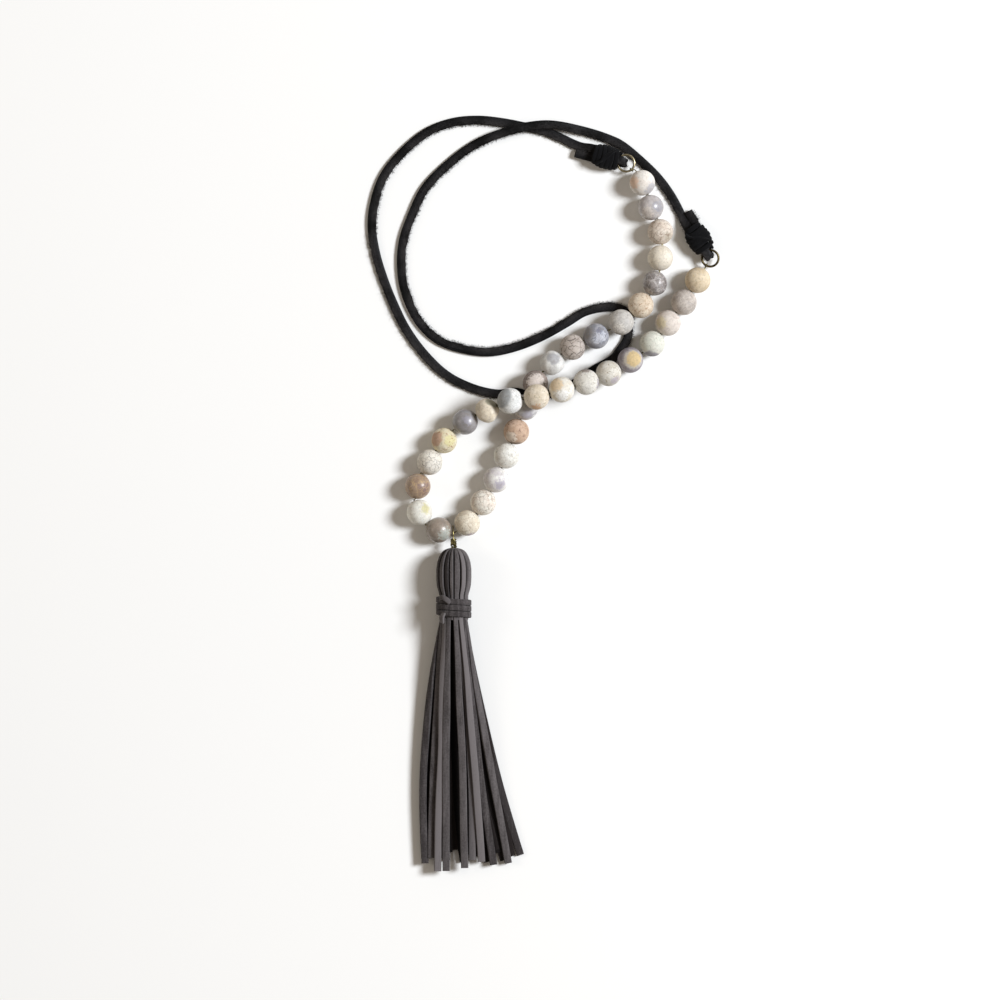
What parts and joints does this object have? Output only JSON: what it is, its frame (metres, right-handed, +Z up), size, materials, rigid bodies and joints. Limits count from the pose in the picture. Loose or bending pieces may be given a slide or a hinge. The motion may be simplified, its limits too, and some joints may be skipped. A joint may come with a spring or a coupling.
{
  "type": "tassel necklace",
  "caption": "Long necklace laid flat: round matte stone beads on wire, a black leather lace knotted to two jump rings, and a grey suede tassel.",
  "frame": {"origin": "on the surface that the necklace lies on, under the middle of the box round the beads, the jump rings, the bail and the tassel, without the lace and its bindings", "axes": "+Z up from the surface, +Y from the tassel's ends towards the far curve of the lace, +X to the right as seen from above"},
  "size_m": [0.1365, 0.2929, 0.0197],
  "materials": {
    "stone_white": "matte",
    "stone_greige": "matte",
    "stone_taupe": "matte",
    "stone_grey_brown": "matte",
    "stone_apricot": "matte",
    "stone_tan": "matte",
    "stone_lilac_grey": "matte",
    "stone_cream": "matte",
    "gold_wire": "polished",
    "antique_brass": "aged",
    "black_leather": "matte",
    "black_cord": "matte",
    "grey_suede": "suede"
  },
  "bodies": {
    "root": {"bead_01": "stone_white", "bead_02": "stone_lilac_grey", "bead_03": "stone_greige", "bead_04": "stone_cream", "bead_05": "stone_grey_brown", "bead_06": "stone_apricot", "bead_07": "stone_taupe", "bead_08": "stone_lilac_grey", "bead_09": "stone_greige", "bead_10": "stone_white", "bead_11": "stone_grey_brown", "bead_12": "stone_lilac_grey", "bead_13": "stone_tan", "bead_14": "stone_white", "bead_15": "stone_lilac_grey", "bead_16": "stone_white", "bead_17": "stone_white", "bead_18": "stone_grey_brown", "bead_19": "stone_white", "bead_20": "stone_grey_brown", "bead_21": "stone_greige", "bead_22": "stone_apricot", "bead_23": "stone_taupe", "bead_24": "stone_cream", "bead_25": "stone_taupe", "bead_26": "stone_cream", "bead_27": "stone_white", "bead_28": "stone_greige", "bead_29": "stone_greige", "bead_30": "stone_apricot", "bead_31": "stone_cream", "bead_32": "stone_greige", "bead_33": "stone_taupe", "bead_34": "stone_cream", "beading_wire": "gold_wire", "jump_ring_1": "antique_brass", "jump_ring_2": "antique_brass", "leather_lace": "black_leather", "lace_binding_1": "black_cord", "lace_binding_2": "black_cord", "tassel_bail": "gold_wire", "tassel": "grey_suede", "tassel_band": "grey_suede"}
  },
  "joints": []
}
